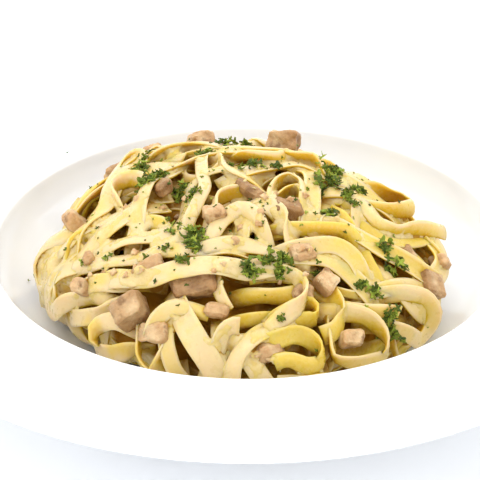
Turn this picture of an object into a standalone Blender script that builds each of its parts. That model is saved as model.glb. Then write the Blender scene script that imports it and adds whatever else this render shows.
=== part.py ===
"""Fettuccine in cream sauce with diced ham, heaped in a wide-rimmed pasta plate.

Metres, +Z up. The origin is the centre of the plate's foot, on the table.
The plate, the heap of pasta and each ham dice are separate closed solids.
"""

import math
import random

import bmesh
import bpy
from mathutils import Euler, Matrix, Vector

MM = 0.001
GAP = 0.3 * MM  # left between pieces that touch

# The plate
PLATE_RADIUS = 140 * MM
RIM_THICKNESS = 4.2 * MM
RIM_RISE = 1.5 * MM  # the rim's outer edge is this much higher than its inner edge
LIP_RADIUS = 3 * MM  # rounding between the rim and the well
WELL_RADIUS = 94 * MM
WELL_DEPTH = 31 * MM
FLOOR_RADIUS = 56 * MM
WALL_THICKNESS = 5 * MM
FOOT_OUTER = 60 * MM
FOOT_INNER = 53 * MM
FOOT_HEIGHT = 4 * MM
FLOOR_HEIGHT = FOOT_HEIGHT + WALL_THICKNESS
RIM_HEIGHT = FLOOR_HEIGHT + WELL_DEPTH  # the rim's inner edge above the table
PLATE_STEPS = 64

# The heap of pasta
HEAP_CENTRE = Vector((-3 * MM, -4 * MM, 0))
HEAP_RADIUS = 76 * MM
HEAP_TOP = RIM_HEIGHT + 27 * MM
HEAP_WAIST = RIM_HEIGHT - 10 * MM  # the height of its widest place
HEAP_BASE_RADIUS = 54 * MM
CROWN_POWER, CROWN_ROUNDING = 2.2, 0.8  # how flat the top and how steep the flank
HEAP_SEGMENTS, HEAP_RINGS = 72, 22
FLANK_POWER = 0.3  # how upright the flank is below the waist, down to where it meets the well
BASE_SHARE = 0.3  # the sphere's lowest rings, as a share of its radius, become the flat base
BASE_EDGE = 0.35  # out to here the base's rim is level with it
RELIEF_FROM = -0.5  # the rolls show on all of the sphere above this height
BUNDLES = 18  # rolls of noodles that run round the heap
BUNDLE_WIDTH = 20 * MM
BUNDLE_RELIEF = 6.5 * MM
MEAN_RELIEF = 0.5  # as a share of the relief, the level of the heap's plain form

# The ham: name, plan position, length, width and height in millimetres,
# turn in degrees, and the share of its height that is sunk in the heap
HAM_DICE = (
    ("back_left", -18, 46, 10, 8, 9, 20, 0.4),
    ("back_right", 13, 44, 11, 9, 10, -15, 0.4),
    ("back_small", -36, 36, 7, 6, 7, 40, 0.2),
    ("left_edge", -63, -7, 6, 6, 9, 10, 0.35),
    ("crown_left", -31, -8, 6, 5, 5, 35, 0.45),
    ("crown_front", -12, -29, 8, 6, 7, 15, 0.45),
    ("crown_strip", 0, -16, 13, 4, 5, -50, 0.4),
    ("crown_right", 14, -25, 10, 8, 8, 10, 0.5),
    ("left_flank_small", -57, -31, 5, 4, 5, 30, 0.6),
    ("left_flank", -35, -47, 12, 7, 5, 20, 0.55),
    ("left_corner", -58, -42, 5, 5, 7, -30, 0.45),
    ("front_left_large", -40, -59, 12, 10, 10, 15, 0.35),
    ("front_left_flat", -32, -67, 11, 7, 6, -10, 0.4),
    ("front_large", -19, -56, 15, 8, 9, 5, 0.6),
    ("front_strip", -11, -65, 9, 5, 5, -15, 0.5),
    ("front_low", 7, -75, 10, 6, 6, 20, 0.6),
    ("right_upper", 18, -45, 8, 7, 7, 25, 0.4),
    ("right_cube", 26, -53, 8, 7, 7, -35, 0.35),
    ("right_gap", 18, -58, 6, 5, 6, 0, 0.4),
    ("right_curl", 35, -66, 8, 6, 6, 15, 0.45),
    ("right_flank", 58, -23, 7, 6, 6, -25, 0.85),
    ("right_edge", 72, -17, 6, 6, 7, 30, 0.2),
    ("right_corner", 65, -33, 10, 9, 8, 20, 0.3),
    ("far_left", -50, 50, 10, 9, 9, 25, 0.35),
    ("far_middle", -5, 68, 11, 9, 9, -10, 0.5),
    ("far_small", 22, 62, 8, 7, 7, 5, 0.4),
)
HAM_BEVEL = 1.1 * MM
HAM_SKEW = 0.09  # how uneven a dice is, as a share of its size

COLOURS = {
    # name: (base colour, roughness)
    "porcelain": ((0.86, 0.87, 0.88), 0.12),
    "pasta": ((0.85, 0.68, 0.34), 0.35),
    "ham": ((0.62, 0.38, 0.26), 0.4),
}


def clear_scene():
    for obj in list(bpy.data.objects):
        bpy.data.objects.remove(obj)


def new_collection(name):
    found = bpy.data.collections.new(name)
    bpy.context.scene.collection.children.link(found)
    return found


def make_material(name):
    colour, roughness = COLOURS[name]
    material = bpy.data.materials.new(name)
    material.use_nodes = True
    shader = material.node_tree.nodes["Principled BSDF"]
    shader.inputs["Base Color"].default_value = (*colour, 1)
    shader.inputs["Roughness"].default_value = roughness
    shader.inputs["Metallic"].default_value = 0
    return material


def object_from_bmesh(bm, name, collection):
    """A mesh of triangles, because a bent quad has no exact surface for a Boolean to cut."""
    bmesh.ops.recalc_face_normals(bm, faces=bm.faces)
    bmesh.ops.triangulate(bm, faces=bm.faces)
    mesh = bpy.data.meshes.new(name)
    bm.to_mesh(mesh)
    bm.free()
    obj = bpy.data.objects.new(name, mesh)
    collection.objects.link(obj)
    return obj


def arc(centre_x, centre_z, radius_x, radius_z, start, end, count):
    """Points of an elliptical arc, from start to end in degrees."""
    points = []
    for i in range(count):
        angle = math.radians(start + (end - start) * i / (count - 1))
        x = centre_x + radius_x * math.cos(angle)
        z = centre_z + radius_z * math.sin(angle)
        points.append((x, z))
    return points


def plate_profile():
    """The plate's half section, from the middle of the well over the rim to the middle below."""
    lip_x = WELL_RADIUS + LIP_RADIUS
    lip_z = RIM_HEIGHT - LIP_RADIUS
    edge = RIM_THICKNESS / 2
    edge_x = PLATE_RADIUS - edge
    edge_z = RIM_HEIGHT + RIM_RISE - edge
    wall_x = WELL_RADIUS - FLOOR_RADIUS
    wall_z = lip_z - FLOOR_HEIGHT
    under_lip = 4 * MM
    foot_edge = 1 * MM
    outer_x = wall_x + WALL_THICKNESS
    outer_z = lip_z - FOOT_HEIGHT
    return (
        [(0, FLOOR_HEIGHT)]
        + arc(FLOOR_RADIUS, lip_z, wall_x, wall_z, -90, 0, 10)
        + arc(lip_x, lip_z, LIP_RADIUS, LIP_RADIUS, 150, 90, 3)
        + arc(edge_x, edge_z, edge, edge, 90, -90, 5)
        + [(lip_x + under_lip, RIM_HEIGHT - RIM_THICKNESS)]
        + arc(FLOOR_RADIUS, lip_z, outer_x, outer_z, -12, -76, 6)
        + [(FOOT_OUTER, foot_edge), (FOOT_OUTER - foot_edge, 0)]
        + [(FOOT_INNER + foot_edge, 0), (FOOT_INNER, foot_edge)]
        + [(FOOT_INNER - foot_edge, FOOT_HEIGHT), (0, FOOT_HEIGHT)]
    )


def make_plate(collection):
    """One turned solid: a Screw modifier turns the half section round Z."""
    points = plate_profile()
    bm = bmesh.new()
    verts = [bm.verts.new((x, 0, z)) for x, z in points]
    for first, second in zip(verts, verts[1:]):
        bm.edges.new((first, second))
    mesh = bpy.data.meshes.new("plate")
    bm.to_mesh(mesh)
    bm.free()
    plate = bpy.data.objects.new("plate", mesh)
    collection.objects.link(plate)
    screw = plate.modifiers.new("Turn", "SCREW")
    screw.steps = screw.render_steps = PLATE_STEPS
    screw.use_merge_vertices = True
    screw.merge_threshold = 1e-5
    screw.use_smooth_shade = True
    plate.data.materials.append(make_material("porcelain"))
    return plate


def wall_height(radius):
    """Height of the well's inner surface at a distance from the plate's axis."""
    if radius <= FLOOR_RADIUS:
        return FLOOR_HEIGHT
    share = min(1, (radius - FLOOR_RADIUS) / (WELL_RADIUS - FLOOR_RADIUS))
    return RIM_HEIGHT - LIP_RADIUS - (WELL_DEPTH - LIP_RADIUS) * math.sqrt(1 - share * share)


def crown_height(radius):
    """Height of the heap's upper surface at a distance from its middle, without the relief."""
    share = min(1, radius / HEAP_RADIUS)
    rise = (1 - share**CROWN_POWER) ** CROWN_ROUNDING
    return HEAP_WAIST + (HEAP_TOP - HEAP_WAIST) * rise


def make_bundles(seed=7):
    """Rolls of noodles as bands on a unit sphere: (axis, offset along it, half width, lift)."""
    rng = random.Random(seed)
    bands = []
    for _ in range(BUNDLES):
        axis = Vector((rng.gauss(0, 1), rng.gauss(0, 1), rng.gauss(0, 1))).normalized()
        offset = rng.uniform(-0.85, 0.85)
        half_width = BUNDLE_WIDTH / HEAP_RADIUS / 2 * rng.uniform(0.8, 1.2)
        bands.append((axis, offset, half_width, rng.uniform(0.35, 1)))
    return bands


def bundle_relief(direction, bundles):
    """How far the topmost roll at a direction stands out, from 0 to 1."""
    relief = 0
    for axis, offset, half_width, lift in bundles:
        away = abs(direction.dot(axis) - offset) / half_width
        if away < 1:
            relief = max(relief, lift * math.sqrt(1 - away**2))
    return relief


def heap_point(direction, bundles):
    """The place on the heap of a point on the unit sphere."""
    around = math.hypot(direction.x, direction.y)
    outward = Vector((direction.x, direction.y, 0)).normalized() if around > 1e-6 else Vector()
    if direction.z >= 0:
        # Rings crowd towards the flank, which is where the shape bends most.
        radius = HEAP_RADIUS * around
        height = crown_height(radius)
    else:
        radius = HEAP_BASE_RADIUS + (HEAP_RADIUS - HEAP_BASE_RADIUS) * around**FLANK_POWER
        base_z = FLOOR_HEIGHT + GAP
        if around < BASE_SHARE:
            radius = HEAP_BASE_RADIUS * around / BASE_SHARE
        height = HEAP_WAIST + (HEAP_WAIST - base_z) * direction.z
        height = base_z if around < BASE_EDGE else height
    point = HEAP_CENTRE + outward * radius + Vector((0, 0, height))
    if direction.z > RELIEF_FROM:
        point += direction * BUNDLE_RELIEF * (bundle_relief(direction, bundles) - MEAN_RELIEF)
    clear = wall_height(math.hypot(point.x, point.y)) + 2 * GAP
    if direction.z < 0 and point.z < clear and around >= BASE_EDGE:
        point.z = clear
    return point


def make_heap(collection):
    """One solid out to the noodles' uneven outline, shaped from a sphere primitive."""
    bm = bmesh.new()
    bmesh.ops.create_uvsphere(bm, u_segments=HEAP_SEGMENTS, v_segments=HEAP_RINGS, radius=1)
    bundles = make_bundles()
    for vert in bm.verts:
        vert.co = heap_point(vert.co.normalized(), bundles)
    heap = object_from_bmesh(bm, "pasta_heap", collection)
    heap.data.shade_smooth()
    heap.data.materials.append(make_material("pasta"))
    return heap


def dice_mesh(size, rng):
    """A hand-cut cube of ham: a primitive cube with uneven corners and bevelled edges."""
    bm = bmesh.new()
    bmesh.ops.create_cube(bm, size=1)
    for vert in bm.verts:
        jitter = Vector([rng.uniform(-HAM_SKEW, HAM_SKEW) for _ in range(3)])
        vert.co = Vector([a * b for a, b in zip(vert.co + jitter, size)])
    bmesh.ops.bevel(bm, geom=bm.edges[:], offset=HAM_BEVEL, segments=1, affect="EDGES")
    return bm


def surface_normal(radius):
    """Slope of the crown at a distance from the heap's middle, as (outward, up)."""
    step = 1 * MM
    drop = crown_height(radius - step) - crown_height(radius + step)
    return Vector((drop, 2 * step)).normalized()


def dice_matrix(x, y, height, turn, sunk):
    """Stands a dice on the heap's slope, partly sunk in it."""
    plan = Vector((x * MM, y * MM, 0)) - HEAP_CENTRE
    radius = min(plan.length, HEAP_RADIUS * 0.95)
    outward = plan.normalized()
    across, up = surface_normal(radius)
    normal = outward * across + Vector((0, 0, up))
    foot = HEAP_CENTRE + outward * radius + Vector((0, 0, crown_height(radius)))
    centre = foot + normal * height * MM * (0.5 - sunk)
    lean = Vector((0, 0, 1)).rotation_difference(normal).to_matrix().to_4x4()
    return Matrix.Translation(centre) @ lean @ Euler((0, 0, math.radians(turn))).to_matrix().to_4x4()


def make_ham(collection, cutters):
    """Each dice, and a cutter that is larger by the gap, which makes its place in the heap."""
    material = make_material("ham")
    for number, row in enumerate(HAM_DICE):
        name, x, y, length, width, height, turn, sunk = row
        matrix = dice_matrix(x, y, height, turn, sunk)
        for prefix, margin, group in (("ham_", 0, collection), ("cut_", 2 * GAP, cutters)):
            size = Vector((length, width, height)) * MM + Vector((margin, margin, margin))
            bm = dice_mesh(size, random.Random(number))
            dice = object_from_bmesh(bm, prefix + name, group)
            dice.matrix_world = matrix
            dice.data.materials.append(material)


def cut_places(heap, cutters):
    """Cuts each dice's place out of the heap."""
    for cutter in cutters.objects:
        cut = heap.modifiers.new(cutter.name, "BOOLEAN")
        cut.operation = "DIFFERENCE"
        cut.object = cutter
        cut.solver = "EXACT"
        cutter.hide_render = True
        cutter.display_type = "WIRE"


def main():
    clear_scene()
    dish = new_collection("fettuccine_plate")
    cutters = new_collection("cutters")
    make_plate(dish)
    heap = make_heap(dish)
    make_ham(dish, cutters)
    cut_places(heap, cutters)


main()
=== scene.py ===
"""Looks for the plate of fettuccine in cream sauce: real noodles over a smaller core,
ham, sauce and parsley, the glazed plate, a pale floor, soft light and the camera.

Lengths are millimetres until a mesh is made. The heap's outer surface is unrolled to a flat map:
a place on the map is (across, along), its distance from the middle is the way down the slope,
and its height is how far it stands out from the surface.
"""

import math

import bmesh
import bpy
import numpy as np
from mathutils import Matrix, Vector, noise
from mathutils.bvhtree import BVHTree


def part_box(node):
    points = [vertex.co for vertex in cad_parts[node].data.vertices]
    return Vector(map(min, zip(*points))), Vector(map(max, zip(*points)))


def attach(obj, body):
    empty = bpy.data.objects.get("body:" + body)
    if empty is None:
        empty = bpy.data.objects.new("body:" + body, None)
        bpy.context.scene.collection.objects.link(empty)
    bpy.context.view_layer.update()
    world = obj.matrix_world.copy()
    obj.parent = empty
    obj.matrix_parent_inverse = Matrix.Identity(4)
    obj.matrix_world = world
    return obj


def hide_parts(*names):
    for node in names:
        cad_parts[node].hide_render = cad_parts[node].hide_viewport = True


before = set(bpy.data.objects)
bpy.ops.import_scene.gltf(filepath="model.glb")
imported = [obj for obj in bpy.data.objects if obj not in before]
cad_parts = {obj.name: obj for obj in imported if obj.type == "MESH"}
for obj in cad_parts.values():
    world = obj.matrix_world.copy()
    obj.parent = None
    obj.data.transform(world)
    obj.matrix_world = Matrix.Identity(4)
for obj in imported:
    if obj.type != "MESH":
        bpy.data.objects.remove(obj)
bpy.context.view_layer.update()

MM = 0.001

# Places from the frame
PLATE_HIGH = np.array(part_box("plate")[1]) / MM
HEAP_LOW, HEAP_HIGH = (np.array(corner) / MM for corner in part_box("pasta_heap"))
PLATE_RADIUS = PLATE_HIGH[0]
RIM_RISE = 1.5  # from the well's lip to the rim's outer edge
RIM_HEIGHT = PLATE_HIGH[2] - RIM_RISE
HEAP_CENTRE = (HEAP_LOW + HEAP_HIGH)[:2] / 2
RELIEF_OUT, RELIEF_UP = 4.6, 3.8  # how far noodles stand out from the heap's smooth surface
HEAP_RADIUS = (HEAP_HIGH - HEAP_LOW)[:2].mean() / 2 - RELIEF_OUT
HEAP_TOP = HEAP_HIGH[2] - RELIEF_UP
HEAP_WAIST = RIM_HEIGHT - 10

# The well of the plate
LIP_RADIUS = 3
WELL_RADIUS = 94
WELL_DEPTH = 31
FLOOR_RADIUS = 56

# The heap's form
CROWN_POWER, CROWN_ROUNDING = 2.2, 0.8
FLANK_IN, FLANK_DROP = 16, 20  # how far the flank draws in and falls below the waist
SAG, SAG_ACROSS, SAG_ALONG = 8.0, (25, 75), (-5, 35)  # on the right at the back
DRAWN_IN, DRAWN_IN_TOWARDS, DRAWN_IN_WIDTH = 0.09, -152, 30  # the left front, angles in degrees
HOLE_DEPTH = 13  # how deep the sauce goes in the holes
CORE_DEPTH = 13  # how far the core lies under the outer surface
CLEARANCE = 0.4  # of noodles and core over the plate

# The noodles
NOODLE_WIDTH = 6.8
NOODLE_THICKNESS = 1.5
LOW_END, TUCK_LENGTH, TUCK_DEPTH = 1, 9, 6  # ends no higher than the first are carried on and down
TWIST = 1.2  # how much the ribbons laid through listed points turn about their length, in radians before smoothing
SINK, EDGE_SINK = 0.4, 3.0  # how far a loose ribbon presses in, and further where it stands
GIVE = 2.5  # how far a ribbon laid through listed points may be lifted by what lies under it
MAP_EDGE, EDGE_ZONE = 108, 22  # loose noodles turn back in the zone before the map's edge
GENTLE_BEND = 42  # usual bending radius of a loose noodle
CURL_LENGTH, CURL_RADIUS = (12, 22), (8, 14)
STANDS_FROM, STANDS_AT = 34, 13  # bending radii at which it begins to stand up, and stands


def smooth(values, reach):
    """Gaussian smoothing along the first axis; the ends are held."""
    half = int(math.ceil(reach * 3))
    kernel = np.exp(-0.5 * (np.arange(-half, half + 1) / reach) ** 2)
    kernel /= kernel.sum()
    columns = values.reshape(len(values), -1)
    padded = np.pad(columns, ((half, half), (0, 0)), mode="edge")
    done = [np.convolve(column, kernel, mode="valid") for column in padded.T]
    return np.array(done).T.reshape(values.shape)


def smoothstep(value, low, high):
    share = np.clip((value - low) / (high - low), 0, 1)
    return share * share * (3 - 2 * share)


def unit(vectors):
    return vectors / np.maximum(np.linalg.norm(vectors, axis=-1, keepdims=True), 1e-9)


def wall_height(radius):
    """Height of the plate's upper surface at a distance from its axis."""
    share = np.clip((radius - FLOOR_RADIUS) / (WELL_RADIUS - FLOOR_RADIUS), 0, 1)
    well = RIM_HEIGHT - LIP_RADIUS - (WELL_DEPTH - LIP_RADIUS) * np.sqrt(1 - share**2)
    return np.where(radius > WELL_RADIUS, RIM_HEIGHT + CLEARANCE, well)


class Dome:
    """The heap's outer surface and its unrolled map."""

    def __init__(self):
        crown = 1 - (1 - np.linspace(0, 1, 200)) ** 1.7
        radius = HEAP_RADIUS * crown
        rise = np.clip(1 - crown**CROWN_POWER, 0, None) ** CROWN_ROUNDING
        height = HEAP_WAIST + (HEAP_TOP - HEAP_WAIST) * rise
        angle = np.radians(np.linspace(0, 80, 40)[1:])
        radius = np.append(radius, HEAP_RADIUS - FLANK_IN * (1 - np.cos(angle)))
        height = np.append(height, HEAP_WAIST - FLANK_DROP * np.sin(angle))
        way = np.append(0, np.cumsum(np.hypot(np.diff(radius), np.diff(height))))
        self.way = np.arange(0, way[-1], 0.5)
        self.radius = np.interp(self.way, way, radius)
        self.height = np.interp(self.way, way, height)
        slope = unit(np.stack([np.gradient(self.radius), np.gradient(self.height)], -1))
        slope = unit(smooth(slope, 4))
        slope[0] = (1, 0)
        self.normal_out, self.normal_up = -slope[:, 1], slope[:, 0]

    def slump(self, places):
        """The heap sags on the right at the back."""
        sag = smoothstep(places[..., 0], *SAG_ACROSS) * smoothstep(places[..., 1], *SAG_ALONG)
        return -SAG * sag

    def spread(self, places):
        """The heap is drawn in at the left of its front."""
        towards = np.degrees(np.arctan2(places[..., 1], places[..., 0])) - DRAWN_IN_TOWARDS
        away = (towards + 180) % 360 - 180
        return 1 - DRAWN_IN * np.exp(-((away / DRAWN_IN_WIDTH) ** 2))

    def normals(self, places):
        way = np.linalg.norm(places, axis=-1)
        out = np.interp(way, self.way, self.normal_out)
        up = np.interp(way, self.way, self.normal_up)
        around = unit(places)
        return unit(np.concatenate([around * out[..., None], up[..., None]], -1))

    def place(self, places, height):
        """Points in space of places on the map, that high above the surface."""
        way = np.linalg.norm(places, axis=-1)
        around = unit(places)
        radius = np.interp(way, self.way, self.radius) * self.spread(places)
        level = np.interp(way, self.way, self.height) + self.slump(places)
        foot = np.concatenate([HEAP_CENTRE + around * radius[..., None], level[..., None]], -1)
        return foot + self.normals(places) * np.asarray(height)[..., None]

    def unroll(self, points):
        """The places on the map, and the heights, of points in space."""
        flat = points[..., :2] - HEAP_CENTRE
        radius = np.linalg.norm(flat, axis=-1) / self.spread(flat)
        around = unit(flat)
        level = points[..., 2]
        for _ in range(2):
            away = (radius[..., None] - self.radius) ** 2 + (level[..., None] - self.height) ** 2
            nearest = away.argmin(-1)
            places = around * self.way[nearest][..., None]
            level = points[..., 2] - self.slump(places)
        out = radius - self.radius[nearest]
        up = level - self.height[nearest]
        return places, out * self.normal_out[nearest] + up * self.normal_up[nearest]


class Pile:
    """How high the heap has grown, in cells of one millimetre on the map."""

    HALF = 125

    def __init__(self, start):
        self.top = np.full((2 * self.HALF, 2 * self.HALF), float(start))

    def cells(self, places):
        return np.clip((places + self.HALF).astype(int), 0, 2 * self.HALF - 2)

    def level(self, places):
        cells = self.cells(places)
        return self.top[cells[..., 0], cells[..., 1]]

    def raise_to(self, places, heights):
        cells = self.cells(places - 0.5)
        for step_x in (0, 1):
            for step_y in (0, 1):
                index = (cells[..., 0] + step_x, cells[..., 1] + step_y)
                np.maximum.at(self.top, index, heights)


DOME = Dome()
PILE = Pile(-CORE_DEPTH)


class Noodle:
    """A ribbon's middle line with the directions across it and out of its face."""

    def __init__(self, centre, across, facing, width, tone):
        self.centre, self.across, self.facing = centre, across, facing
        self.width, self.tone = width, tone


def spread_over(centre, across, width):
    """Points across a ribbon, at nine places from edge to edge."""
    offsets = np.linspace(-0.5, 0.5, 9) * width
    return centre[:, None] + across[:, None] * offsets[:, None]


def in_step(vectors, ahead):
    """Directions across a ribbon that don't flip, smooth and square to its length."""
    for i in range(1, len(vectors)):
        if vectors[i] @ vectors[i - 1] < 0:
            vectors[i] = -vectors[i]
    vectors = unit(smooth(vectors, 2))
    return unit(vectors - ahead * (vectors * ahead).sum(-1, keepdims=True))


def lay_down(path, height, across, width, tone):
    """The ribbon at its final height, marked on the pile."""
    centre = DOME.place(path, height)
    ahead = unit(np.gradient(centre, axis=0))
    across = in_step(across.copy(), ahead)
    facing = np.cross(ahead, across)
    places, tops = DOME.unroll(spread_over(centre, across, width))
    PILE.raise_to(places, tops + NOODLE_THICKNESS / 2)
    return Noodle(centre, across, facing, width, tone)


def lay_noodle(path, roll, rng):
    """Lays a loose ribbon along map places 1 mm apart on what already lies there.

    roll turns it about its length, in radians.
    """
    forward = unit(np.gradient(path, axis=0))
    left = np.stack([-forward[:, 1], forward[:, 0]], -1)
    offsets = np.linspace(-0.5, 0.5, 9) * NOODLE_WIDTH
    reach = np.abs(np.cos(roll))[:, None] * offsets
    ground = PILE.level(path[:, None] + left[:, None] * reach[..., None])
    slope = (ground[:, -3:].mean(1) - ground[:, :3].mean(1)) / (NOODLE_WIDTH * 0.75)
    lean = np.clip(np.arctan(smooth(slope, 5)), -0.6, 0.6)
    angle = roll + lean * np.cos(roll) ** 2
    need = (ground - offsets * np.sin(angle)[:, None]).max(1)
    need = need + NOODLE_THICKNESS / 2 * np.abs(np.cos(angle)) - EDGE_SINK * np.sin(angle) ** 2
    height = need
    for _ in range(4):
        height = np.maximum(smooth(height, 4), need - SINK)
    height = smooth(height, 2)
    ahead = unit(np.gradient(DOME.place(path, height), axis=0))
    flat = unit(np.cross(DOME.normals(path), ahead))
    facing = np.cross(ahead, flat)
    across = flat * np.cos(angle)[:, None] + facing * np.sin(angle)[:, None]
    return lay_down(path, height, across, NOODLE_WIDTH, rng.random())


def spline(points):
    """Rows 1 mm apart on a smooth curve through the given rows, which start with a map place."""
    points = np.array(points, float)
    rows = np.vstack([2 * points[0] - points[1], points, 2 * points[-1] - points[-2]])
    share = np.linspace(0, 1, 30, endpoint=False)[:, None]
    pieces = []
    for before, start, end, after in zip(rows, rows[1:], rows[2:], rows[3:]):
        bend = (2 * before - 5 * start + 4 * end - after) * share**2
        bend += (3 * start - before - 3 * end + after) * share**3
        pieces.append(start + ((end - before) * share + bend) / 2)
    curve = np.vstack(pieces + [points[-1:]])
    way = np.append(0, np.cumsum(np.linalg.norm(np.diff(curve[:, :2], axis=0), axis=1)))
    even = np.arange(0, way[-1], 1.0)
    return np.stack([np.interp(even, way, column) for column in curve.T], -1)


def tuck_ends(points):
    """Carries each low end on, down under what lies beside it."""
    points = [np.array(row, float) for row in points]
    for end, beside, place in ((0, 1, 0), (-1, -2, len(points))):
        if points[end][2] <= LOW_END:
            away = unit(points[end][:2] - points[beside][:2]) * TUCK_LENGTH
            tucked = np.array((*(points[end][:2] + away), -TUCK_DEPTH, points[end][3]))
            points.insert(place + (end == -1), tucked)
    return points


def lay_by_hand(points, width, rng):
    """Lays a ribbon through chosen points: across, along, height and how upright it stands.

    0 lies flat on the heap and 1 stands on its edge. What lies there lifts it a little.
    """
    points = [(*point, 0, 0)[:4] for point in points]
    route = spline(tuck_ends(points))
    path, wanted, stand = route[:, :2], route[:, 2], np.clip(route[:, 3:], 0, 1)
    centre = DOME.place(path, wanted)
    ahead = unit(np.gradient(centre, axis=0))
    flat = unit(np.cross(DOME.normals(path), ahead))
    upright = unit(np.array((0, 0, 1)) - ahead * ahead[:, 2:])
    flat = flat * np.where((flat * upright).sum(-1, keepdims=True) < 0, -1, 1)
    across = in_step(unit(flat * (1 - stand) + upright * stand), ahead)
    twist = np.clip(smooth(rng.normal(size=(len(path), 1)), 7) * TWIST, -0.5, 0.5)
    across = across * np.cos(twist) + np.cross(ahead, across) * np.sin(twist)
    places, heights = DOME.unroll(spread_over(centre, across, width))
    need = (PILE.level(places) - heights + wanted[:, None]).max(1) + NOODLE_THICKNESS / 2
    height = np.maximum(wanted, np.minimum(smooth(need, 4) - 0.5, wanted + GIVE))
    return lay_down(path, smooth(height, 3), across, width, rng.random())


def wander(rng, start, heading, length, curls):
    """A random path on the map with gentle bends, some tight curls, and turned back at the edge."""
    count = int(length)
    bend = smooth(rng.normal(size=count), 14)
    bend *= 1 / GENTLE_BEND / max(bend.std(), 1e-6)
    for _ in range(curls):
        middle = rng.uniform(0.1, 0.9) * count
        reach = rng.uniform(*CURL_LENGTH)
        tight = rng.choice((-1, 1)) / rng.uniform(*CURL_RADIUS)
        bend += tight * np.exp(-(((np.arange(count) - middle) / reach) ** 4))
    place = np.array(start, float)
    path = np.empty((count, 2))
    turned = np.empty(count)
    for i in range(count):
        path[i] = place
        way = math.hypot(*place)
        turn = bend[i]
        outward = math.atan2(place[1], place[0])
        towards = math.cos(heading - outward)
        if way > MAP_EDGE - EDGE_ZONE and towards > -0.1:
            side = 1 if math.sin(heading - outward) >= 0 else -1
            turn += side * (towards + 0.15) * (way - MAP_EDGE + EDGE_ZONE) / EDGE_ZONE / 9
        heading += turn
        turned[i] = turn
        place = place + (math.cos(heading), math.sin(heading))
    return path, turned


def roll_of(bend, rng):
    """A ribbon can't bend much in its own plane, so it stands on its edge in a tight turn."""
    bend = smooth(bend, 5)
    side = rng.choice((-1, 1), p=(0.35, 0.65))
    stand = math.radians(rng.uniform(60, 82))
    stand *= smoothstep(np.abs(bend), 1 / STANDS_FROM, 1 / STANDS_AT)
    return smooth(stand * np.sign(bend) * side, 5)
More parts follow.
